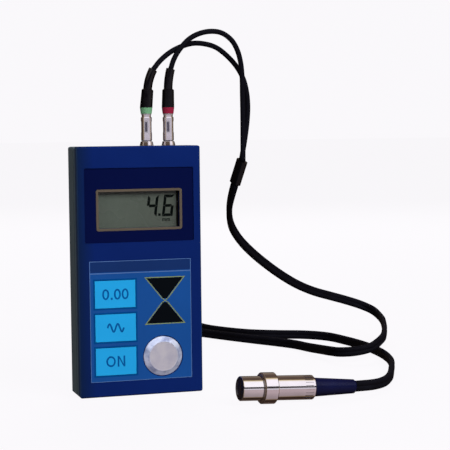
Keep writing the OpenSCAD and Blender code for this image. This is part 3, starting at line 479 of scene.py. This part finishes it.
def cell_material():
    """Printed wrap with a copper coloured band at the top."""
    g = Graph("cell_wrap")
    green = srgb(30, 78, 56)
    wrap = g.mix(g.remap(g.axis(ORIGIN, Z_AXIS), 0, 1, *CELL_BAND), green, srgb(170, 116, 60))
    g.set(Base_Color=g.mix(g.remap(g.noise(160, 3), 0, 0.5), wrap, shade(green, 0.8)),
          Roughness=g.remap(g.noise(120, 2), 0.25, 0.4), Normal=g.bump(g.noise(700, 2), 0.1, 0.00002))
    return g.mat


dress_all(plastic, PLASTICS)
dress_all(rubber, RUBBERS)
dress(plastic("case_navy", srgb(10, 30, 87), rough=0.48, spec=0.03, var=0.06, grain=0.3, tint=case_painted_light),
      "front_shell")
dress(cell_material(), "battery_left", "battery_right")

# ---------------------------------------------------------------- display

FIG_W, FIG_H, FIG_LINE = 5.6, 10.9, 1.4  # a figure's width and height, and the width of its segments
FIG_LEAN, FIG_GAP = 0.13, 0.08           # sideways lean for each millimetre up, half the gap between segments
FIG_Z = 90.2
FIGURES = ((4.0, "fgbc"), (12.4, "afgedc"))  # left edge and lit segments of the 4 and the 6
POINT_X, POINT_RISE = (10.5, 11.8), (0.3, 1.5)
UNIT_LEFT, UNIT_STEP, UNIT_HALF, UNIT_OVER = (12.8, 15.0), 0.75, 0.18, 0.15  # the small unit mark below them
UNIT_FOOT, UNIT_HEAD, UNIT_TOP = 87.7, 88.8, 89.1
FIGURE_LIFT, SHADE_SHEET_LIFT, GLASS_GAP = 0.06, 0.07, 0.005  # how far print and the sheet of painted shade stand before the glass, front and back
SHADE_SHEET_INSET, SHADE_SHEET_RIGHT, SHADE_SHEET_TOP = 1.2, 0.95, 0.15     # the frame's width, and how far the painted shade shows inside it at the right and the top
SHADE_SHEET_OVER_X, SHADE_SHEET_OVER_Z = 0.7, 0.5                    # how far it runs on behind the frame
LCD_FADE = (-0.012, 0.023)


def lcd_material():
    """Grey display glass, a little darker to the right."""
    g = Graph("lcd")
    base = g.mix(g.remap(g.axis(ORIGIN, X_AXIS), 0, 1, *LCD_FADE), srgb(76, 85, 77), srgb(64, 68, 62))
    g.set(Base_Color=g.mix(g.remap(g.noise(500, 3), 0, 1), base, srgb(71, 79, 71)), Specular_IOR_Level=0.3,
          Roughness=g.remap(g.noise(60, 2), 0.22, 0.3), Normal=g.bump(g.noise(900, 2), 0.04, 0.00002))
    return g.mat


def window_material():
    """Clear window, slightly smeared."""
    g = Graph("window_clear")
    g.set(Base_Color=(0.03, 0.032, 0.032, 1.0), Alpha=0.03, Specular_IOR_Level=0.1,
          Roughness=g.remap(g.noise(70, 4), 0.03, 0.09), Normal=g.bump(g.noise(30, 2), 0.03, 0.0001))
    return g.mat


def segment_outlines():
    """A figure's seven segments by their usual letters, upright, from its lower left corner."""
    w, h, t, e, mid = FIG_W, FIG_H, FIG_LINE, FIG_GAP, FIG_H / 2
    segs = {
        "a": [(e, h), (w - e, h), (w - t - e, h - t), (t + e, h - t)],
        "g": [(t / 2 + e, mid), (t + e, mid + t / 2), (w - t - e, mid + t / 2), (w - t / 2 - e, mid),
              (w - t - e, mid - t / 2), (t + e, mid - t / 2)],
        "f": [(0, h - e), (t, h - t - e), (t, mid + t / 2 + e), (t / 2, mid + e), (0, mid + e)]}
    segs["b"] = [(w - x, z) for x, z in segs["f"]]
    for new, old in (("d", "a"), ("e", "f"), ("c", "b")):
        segs[new] = [(x, h - z) for x, z in segs[old]]
    return segs


def display_print():
    """The reading with its point and unit, and a dark sheet of painted shade on the glass at the right and the top of
    the display's field, where the frame shades it.
    """
    segs = segment_outlines()
    shapes = [[(x0 + x + z * FIG_LEAN, FIG_Z + z) for x, z in segs[key]] for x0, keys in FIGURES for key in keys]
    shapes.append(span(POINT_X[0], FIG_Z + POINT_RISE[0], POINT_X[1], FIG_Z + POINT_RISE[1]))
    for x0 in UNIT_LEFT:
        for leg in (x0, x0 + UNIT_STEP, x0 + 2 * UNIT_STEP):
            shapes.append(span(leg - UNIT_HALF, UNIT_FOOT, leg + UNIT_HALF, UNIT_HEAD))
        shapes.append(span(x0 - UNIT_OVER, UNIT_HEAD, x0 + 2 * UNIT_STEP + UNIT_OVER, UNIT_TOP))
    front = box_mm("lcd_glass")[0][1]
    dark = plastic("lcd_dark", srgb(2, 6, 5), rough=0.5, spec=0.0, var=0.1, grain=0.02)
    flat_parts("display_figures", shapes, front - FIGURE_LIFT, front - GLASS_GAP, dark, "gauge")
    # painted shade: a dark sheet on the glass inside the frame's right and top edges
    lo, hi = box_mm("display_frame")
    x1, z0, z1 = hi[0] - SHADE_SHEET_INSET, lo[2] + SHADE_SHEET_INSET, hi[2] - SHADE_SHEET_INSET
    shade_sheet = plastic("lcd_mask", srgb(14, 10, 10), rough=0.5, spec=0.02, var=0.1, grain=0.05)
    flat_parts("display_mask", [
        span(x1 - SHADE_SHEET_RIGHT, z0 - SHADE_SHEET_OVER_Z, x1 + SHADE_SHEET_OVER_X, z1 + SHADE_SHEET_OVER_Z),
        span(-x1 - SHADE_SHEET_OVER_X, z1 - SHADE_SHEET_TOP, x1 - SHADE_SHEET_RIGHT, z1 + SHADE_SHEET_OVER_Z)],
        front - SHADE_SHEET_LIFT, front - GLASS_GAP, shade_sheet, "gauge")


dress(lcd_material(), "lcd_glass")
dress(window_material(), "display_window")
display_print()

# ---------------------------------------------------------------- print on the keypad, and darker borders round its keys

FILM_Y = -11.45    # front of the keypad's film
PRINT_SINK = 0.01  # how far print reaches into what it lies on
LINES_LIFT, BAND_LIFT, BORDER_LIFT, ARROW_LIFT = 0.025, 0.015, 0.02, 0.022  # all differ, so no two share a plane
LINE_EDGE, LINE_W = 0.32, 0.45
BAND_H, BAND_SIDE, BAND_TRIM_X, BAND_TRIM_Z = 6.0, 0.35, 0.8, 0.6
KEY_GAP, KEY_BORDER = 0.16, 0.75
ARROW_OVER, ARROW_GAP, ARROW_TIP, ARROW_LINE = 0.44, 0.2, 1.22, 0.5
CROSS_OUT, CROSS_IN, CROSS_RISE, CROSS_LINE = 1.55, 0.24, 0.93, 0.46
DIAMOND_RISE, DIAMOND_W, DIAMOND_H = 1.1, 0.42, 0.3


def film_print(name, outlines, lift, mat):
    flat_parts(name, outlines, FILM_Y - lift, FILM_Y + PRINT_SINK, mat, "gauge")


def arrow_borders():
    """Light edges of the two arrow keys, which run on past the tips and cross between them."""
    shapes = []
    for key, sign in (("key_down", 1), ("key_up", -1)):
        (x0, _, z0), (x1, _, z1) = box_mm(key)
        mid = (x0 + x1) / 2
        base, tip = (z1, z0) if sign > 0 else (z0, z1)
        foot = base + sign * ARROW_GAP
        sides = frame_outline([(x0 - ARROW_OVER, foot), (x1 + ARROW_OVER, foot),
                               (mid + ARROW_TIP, tip), (mid - ARROW_TIP, tip)], ARROW_LINE)
        shapes += sides[:2] + sides[3:]
        for way in (1, -1):
            shapes += stroke([(mid + way * CROSS_OUT, tip), (mid + way * CROSS_IN, tip - sign * CROSS_RISE)],
                             CROSS_LINE)
    # mid and tip are now those of the lower arrow, right under the crossing
    cross = tip + DIAMOND_RISE
    shapes.append([(mid - DIAMOND_W, cross), (mid, cross - DIAMOND_H), (mid + DIAMOND_W, cross),
                   (mid, cross + DIAMOND_H)])
    return shapes


def keypad_print():
    (x0, _, z0), (x1, _, z1) = box_mm("keypad_overlay")
    band_z = z1 - BAND_H
    pale = plastic("line_pale", srgb(72, 100, 150), rough=0.4, spec=0.05, var=0.06, grain=0.08)
    band = plastic("band_film", srgb(19, 42, 90), rough=0.4, spec=0.04, var=0.05, grain=0.1)
    deep = plastic("key_border", srgb(2, 62, 122), rough=0.4, spec=0.04, var=0.05, grain=0.1)
    olive = plastic("arrow_border", srgb(112, 124, 84), rough=0.4, spec=0.05, var=0.08, grain=0.1)
    lines = frame_outline(span(x0 + LINE_EDGE, z0 + LINE_EDGE, x1 - LINE_EDGE, z1 - LINE_EDGE), LINE_EDGE * 0.9)
    lines.append(span(x0 + BAND_SIDE, band_z - LINE_W, x1 - BAND_SIDE, band_z))
    film_print("overlay_lines", lines, LINES_LIFT, pale)
    title = rect((x0 + x1) / 2, (band_z + z1) / 2, x1 - x0 - BAND_TRIM_X, BAND_H - BAND_TRIM_Z)
    film_print("title_band", [title], BAND_LIFT, band)
    # a darker blue border round each of the three keys, on the film just outside it
    borders = []
    for key in ("key_zero", "key_velocity", "key_on"):
        lo, hi = box_mm(key)
        borders += frame_outline(span(lo[0] - KEY_GAP, lo[2] - KEY_GAP, hi[0] + KEY_GAP, hi[2] + KEY_GAP), KEY_BORDER)
    film_print("key_borders", borders, BORDER_LIFT, deep)
    film_print("arrow_borders", arrow_borders(), ARROW_LIFT, olive)


keypad_print()

LEGEND_H, LEGEND_LINE, LEGEND_LIFT = 4.6, 0.85, 0.02
O_SHIFT, O_R, N_LEFT, N_RIGHT = -2.7, 2.0, 0.7, 4.6
ZERO_SHIFTS, ZERO_R = (-4.9, 1.1, 5.1), 1.35
DOT_SHIFT, DOT_DROP, DOT_SIZE = -1.85, 2.2, 1
WAVE_W, WAVE_RISE, WAVE_TURNS, WAVE_STEPS = 8.4, 2, 2, 40


def legend_on(cx, cz):
    line, half = LEGEND_LINE, LEGEND_H / 2
    x0, x1, z0, z1 = cx + N_LEFT, cx + N_RIGHT, cz - half - line / 2, cz + half + line / 2
    return stroke(oval(cx + O_SHIFT, cz, O_R, half), line, closed=True) + [
        rect(x0 + line / 2, cz, line, z1 - z0), rect(x1 - line / 2, cz, line, z1 - z0),
        [(x0 + line, z1), (x0 + line, z1 - 1.5 * line), (x1 - line, z0), (x1 - line, z0 + 1.5 * line)]]


def legend_zero(cx, cz):
    """The figures 0.00."""
    shapes = [rect(cx + DOT_SHIFT, cz - DOT_DROP, DOT_SIZE, DOT_SIZE)]
    for dx in ZERO_SHIFTS:
        shapes += stroke(oval(cx + dx, cz, ZERO_R, LEGEND_H / 2), LEGEND_LINE, closed=True)
    return shapes


def legend_wave(cx, cz):
    steps = [i / WAVE_STEPS for i in range(WAVE_STEPS + 1)]
    return stroke([(cx + WAVE_W * (s - 0.5), cz + WAVE_RISE * math.sin(2 * math.pi * WAVE_TURNS * s)) for s in steps],
                  LEGEND_LINE)


def key_legends():
    ink = plastic("key_ink", srgb(6, 76, 138), rough=0.4, spec=0.05, var=0.08, grain=0.1)
    front = box_mm("key_on")[0][1]
    for name, key, draw in (("legend_on", "key_on", legend_on), ("legend_zero", "key_zero", legend_zero),
                            ("legend_wave", "key_velocity", legend_wave)):
        lo, hi = box_mm(key)
        flat_parts(name, draw((lo[0] + hi[0]) / 2, (lo[2] + hi[2]) / 2), front - LEGEND_LIFT, front + PRINT_SINK, ink,
                   key)


key_legends()

# ---------------------------------------------------------------- metals

CASE_TOP = 0.126
POCKET_TURN, NOTCH_TURN = -17, -22  # degrees round a plug's axis
PROBE_YAW = PROBE_DIP = math.radians(3)
PROBE_AXIS = (math.cos(PROBE_DIP) * math.cos(PROBE_YAW), math.cos(PROBE_DIP) * math.sin(PROBE_YAW),
              -math.sin(PROBE_DIP))
PROBE_FACE = (0.037, -0.0577, 0.0086)
# a pair holds the two places between which one look fades into the next, by radius, off a plane or along an axis
BEVEL = (0.0072, 0.0076)
POCKET_HALF, POCKET_CORE = (0.00095, 0.0012), (0.0004, 0.00085)
POCKET_FOOT, POCKET_HEAD = (0.0062, 0.0074), (0.0118, 0.0129)
NOTCH_HALF, NOTCH_HEAD = (0.0009, 0.0016), (0.0018, 0.003)
COLLET_FOOT = (0.0155, 0.0157)
RIM, SHOULDER = (0.00004, 0.00012), (0.01115, 0.0113)
DISC_LINES, DISC_DEPTH = 9000, 0.00001


def disc_material():
    """The test disc: a finely turned flat face with a brighter bevel, scuffed and painted a bluish tone that stands
    in for a reflection.
    """
    g = Graph("disc_steel")
    lo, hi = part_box("test_disc")
    centre = ((lo[0] + hi[0]) / 2, 0, (lo[2] + hi[2]) / 2)
    x, z = g.axis(centre, X_AXIS), g.axis(centre, Z_AXIS)
    r = g.math("SQRT", g.math("ADD", g.math("MULTIPLY", x, x), g.math("MULTIPLY", z, z)))
    bevel = g.remap(r, 0, 1, *BEVEL)
    flat = g.mix(g.remap(g.noise(200, 4), 0, 1), srgb(222, 231, 245), srgb(240, 248, 255))
    # painted reflection and scuffs: a bluish tone on the bevel, mottled by noise, made less metallic so that it shows
    scuffs_and_reflection = g.mix(g.remap(g.noise(230, 3, 0.55), 0, 1, 0.36, 0.6), srgb(138, 148, 182), srgb(196, 205, 231))
    g.set(Base_Color=g.mix(bevel, flat, scuffs_and_reflection), Metallic=g.remap(bevel, 1, 0.4, 0, 1),
          Roughness=g.mix(bevel, (0.4, 0.4, 0.4, 1), (0.26, 0.26, 0.26, 1)),
          Normal=g.bump(g.lines(r, DISC_LINES), 0.1, DISC_DEPTH))
    return g.mat


def off_planes(g, axis_at, degrees):
    """Distances from the two upright planes that cross at right angles in a plug's axis."""
    turn = math.radians(degrees)
    return [g.math("ABSOLUTE", g.axis(axis_at, (math.cos(a), math.sin(a), 0))) for a in (turn, turn + math.pi / 2)]


def grip_pockets(axis_at):
    """The four milled pockets of a release shell, dulled, and painted dark on their floors as shade."""
    def build(g, along):
        inside = [g.math("ADD", g.remap(d, 0.4, 0, *POCKET_HALF), g.remap(d, 0.56, 0, *POCKET_CORE))
                  for d in off_planes(g, axis_at, POCKET_TURN)]
        rise = g.math("MULTIPLY", g.remap(along, 0, 1, *POCKET_FOOT), g.remap(along, 1, 0, *POCKET_HEAD))
        # painted shade: the pocket floors take a dark bluish colour
        return g.math("MULTIPLY", g.math("MAXIMUM", *inside), rise), srgb(40, 34, 58)
    return build


def nut_notches(axis_at):
    """Four spanner notches low on a socket's nut, and the dull collet nut under the colour ring."""
    def build(g, along):
        near = [g.remap(d, 1, 0, *NOTCH_HALF) for d in off_planes(g, axis_at, NOTCH_TURN)]
        low = g.math("MULTIPLY", g.math("MAXIMUM", *near), g.remap(along, 1, 0, *NOTCH_HEAD))
        collet = g.math("MULTIPLY", g.remap(along, 0, 0.6, *COLLET_FOOT), g.remap(g.noise(900, 2), 0.6, 1))
        return g.math("MAXIMUM", low, collet), srgb(58, 40, 26)
    return build


def face_rim(g, along):
    """The sleeve's front edge, dull and dark against the measured surface."""
    return g.remap(along, 1, 0, *RIM), srgb(46, 34, 34)


def collar_shoulder(g, along):
    """Dull front shoulder of the collar, and what lies before it."""
    return g.remap(along, 1, 0, *SHOULDER), srgb(92, 74, 62)


def dress_metals():
    dress(disc_material(), "test_disc")
    for side in ("green", "red"):
        lo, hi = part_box("plug_core_" + side)
        axis_at = ((lo[0] + hi[0]) / 2, 0, CASE_TOP)
        dress(turned("nickel_" + side, srgb(226, 220, 226), axis_at, Z_AXIS, marks=0.12, extra=nut_notches(axis_at)),
              "socket_" + side, "socket_nut_" + side, "plug_core_" + side)
        dress(turned("shell_nickel_" + side, srgb(228, 224, 232), axis_at, Z_AXIS, rough=0.19, marks=0.1,
                     extra=grip_pockets(axis_at)), "plug_shell_" + side)
    dress(turned("probe_steel", srgb(230, 226, 230), PROBE_FACE, PROBE_AXIS, rough=0.07, marks=0.12,
                 extra=collar_shoulder), "probe_body")
    dress(turned("nose_steel", srgb(232, 230, 233), PROBE_FACE, PROBE_AXIS, rough=0.07, marks=0.12, extra=face_rim),
          "probe_nose")
    dress(turned("screw_steel", srgb(190, 190, 196), ORIGIN, Y_AXIS, rough=0.3), "case_screws", "board_screws",
          "battery_springs", "battery_plates", "dome_switches", "quartz_crystal")


dress_metals()

# ---------------------------------------------------------------- back of the case

PLATE_Z, PLATE_W, PLATE_H = 92, 42, 26
PLATE_MARGIN, PLATE_LINE = 1.4, 0.35
RULE_RISES, RULE_SHORT, RULE_LINE = (5.5, 0.5, -4.5), 9, 0.3
BACK_SINK, PLATE_OUT, INK_SINK, INK_OUT, ARROW_OUT = 0.05, 0.12, 0.115, 0.15, 0.3  # from the shell's back
ARROW_HALF, ARROW_FOOT, ARROW_HEAD = 3.2, 38, 43  # the heights are above the door's lower edge


def back_details():
    """A bare rating plate above the battery door and a raised arrow on the door."""
    back = box_mm("rear_shell")[1][1]
    film = plastic("plate_film", srgb(128, 132, 136), rough=0.35, spec=0.3, var=0.06, grain=0.1)
    ink = plastic("plate_edge", srgb(40, 44, 50), rough=0.4, spec=0.2, var=0.06, grain=0.1)
    flat_parts("rating_plate", [rect(0, PLATE_Z, PLATE_W, PLATE_H)], back - BACK_SINK, back + PLATE_OUT, film,
               "gauge")
    lines = frame_outline(rect(0, PLATE_Z, PLATE_W - 2 * PLATE_MARGIN, PLATE_H - 2 * PLATE_MARGIN), PLATE_LINE)
    lines += [rect(0, PLATE_Z + rise, PLATE_W - RULE_SHORT, RULE_LINE) for rise in RULE_RISES]
    flat_parts("rating_lines", lines, back + INK_SINK, back + INK_OUT, ink, "gauge")
    low = box_mm("battery_door")[0][2]
    arrow = [(-ARROW_HALF, low + ARROW_FOOT), (ARROW_HALF, low + ARROW_FOOT), (0, low + ARROW_HEAD)]
    flat_parts("door_arrow", [arrow], back - BACK_SINK, back + ARROW_OUT,
               NODES["battery_door"].data.materials[0], "battery_door")


back_details()

# ---------------------------------------------------------------- floor and light

BACKDROP = (0.955, 0.94, 0.965, 1)
FLOOR_HALF = 30

# the dim room that lights the scene, from straight down to straight up
FLOOR_GLOW, SKY_GLOW, HORIZON_GLOW = (0.2, 0.185, 0.19), (0.07, 0.066, 0.068), (0.13, 0.12, 0.12)
ROOM = ((0, FLOOR_GLOW), (1, SKY_GLOW), (0.48, FLOOR_GLOW), (0.52, HORIZON_GLOW), (0.6, SKY_GLOW))

# the studio that polished metal mirrors: by height a table, its lit edge, a dark gap and a wall of light ...
TABLE, TABLE_EDGE, GAP, WALL = (0.58, 0.46, 0.48), (0.82, 0.8, 0.88), (0.04, 0.035, 0.04), (1.25, 1.2, 1.26)
HEIGHT = ((0, (0.36, 0.29, 0.3)), (1, (0.26, 0.17, 0.13)), (0.3, TABLE), (0.465, TABLE), (0.478, TABLE_EDGE),
          (0.524, TABLE_EDGE), (0.536, (0.5, 0.42, 0.44)), (0.546, GAP), (0.648, GAP), (0.664, WALL), (0.97, WALL),
          (0.99, (0.6, 0.44, 0.34)))
# ... and by depth bright in front and dark behind
NEAR, FAR, BEHIND = (1, 1, 1), (0.1, 0.07, 0.05), (0.22, 0.18, 0.13)
DEPTH = ((0, NEAR), (1, BEHIND), (0.2, NEAR), (0.33, (0.8, 0.72, 0.5)), (0.43, (0.42, 0.33, 0.15)), (0.55, FAR),
         (0.88, FAR), (0.97, BEHIND))

LIGHTS = (  # name, place, aim, width, height, watts
    ("key", (0.5, -1.1, 0.86), (0.03, 0, 0.06), 1.1, 0.75, 29),
    ("fill", (-1.3, -0.6, 0.7), (0, 0, 0.06), 0.6, 0.6, 6.5),
    ("back", (0.5, 1.35, 1.0), (0, 0, 0.06), 0.9, 0.7, 27),
)


def make_stage():
    """A wide floor that glows nearly as bright as the backdrop, so that no horizon shows."""
    me = bpy.data.meshes.new("floor")
    s = FLOOR_HALF
    me.from_pydata([(-s, -s, 0), (s, -s, 0), (s, s, 0), (-s, s, 0)], [], [(0, 1, 2, 3)])
    floor = bpy.data.objects.new("floor", me)
    SCENE.collection.objects.link(floor)
    g = Graph("floor_pale")
    g.set(Base_Color=(0.024, 0.0235, 0.024, 1), Roughness=0.9, Specular_IOR_Level=0.0, Emission_Color=BACKDROP,
          Emission_Strength=0.98)
    floor.visible_glossy = False
    floor.visible_diffuse = False
    me.materials.append(g.mat)


def make_world():
    """The backdrop for the camera, the studio for mirror reflections, the room for all other light."""
    world = bpy.data.worlds.new("studio")
    SCENE.world = world
    w = Tree(world)
    rays = w.node("ShaderNodeLightPath")
    way = w.node("ShaderNodeSeparateXYZ")
    w.link(w.node("ShaderNodeTexCoord").outputs["Generated"], way.inputs[0])
    y, z = way.outputs["Y"], way.outputs["Z"]
    level = w.math("POWER", w.math("MAXIMUM", w.math("SUBTRACT", 1, w.math("MULTIPLY", z, z)), 0.0001), 0.5)
    height = w.math("MULTIPLY", w.math("ADD", z, 1), 0.5)
    depth = w.math("MULTIPLY", w.math("ADD", w.math("DIVIDE", y, level), 1), 0.5)
    studio = w.mix(1, w.ramp(height, HEIGHT), w.ramp(depth, DEPTH), blend="MULTIPLY")

    def background(colour):
        n = w.node("ShaderNodeBackground")
        w.feed(n.inputs["Color"], colour)
        return n.outputs[0]

    seen = background(w.ramp(height, ROOM))
    for ray, colour in (("Is Glossy Ray", studio), ("Is Camera Ray", BACKDROP)):
        pick = w.node("ShaderNodeMixShader")
        w.link(rays.outputs[ray], pick.inputs[0])
        w.link(seen, pick.inputs[1])
        w.link(background(colour), pick.inputs[2])
        seen = pick.outputs[0]
    w.link(seen, w.node("ShaderNodeOutputWorld").inputs[0])


def make_lights():
    for name, place, aim, width, height, watts in LIGHTS:
        light = bpy.data.lights.new(name, "AREA")
        light.shape = "RECTANGLE"
        light.size, light.size_y = width, height
        light.energy = watts
        obj = bpy.data.objects.new(name, light)
        SCENE.collection.objects.link(obj)
        obj.location = place
        obj.rotation_euler = (Vector(aim) - Vector(place)).to_track_quat("-Z", "Y").to_euler()
        obj.visible_glossy = False


make_stage()
make_world()
make_lights()
SCENE.view_settings.view_transform = "Standard"
SCENE.view_settings.look = "None"
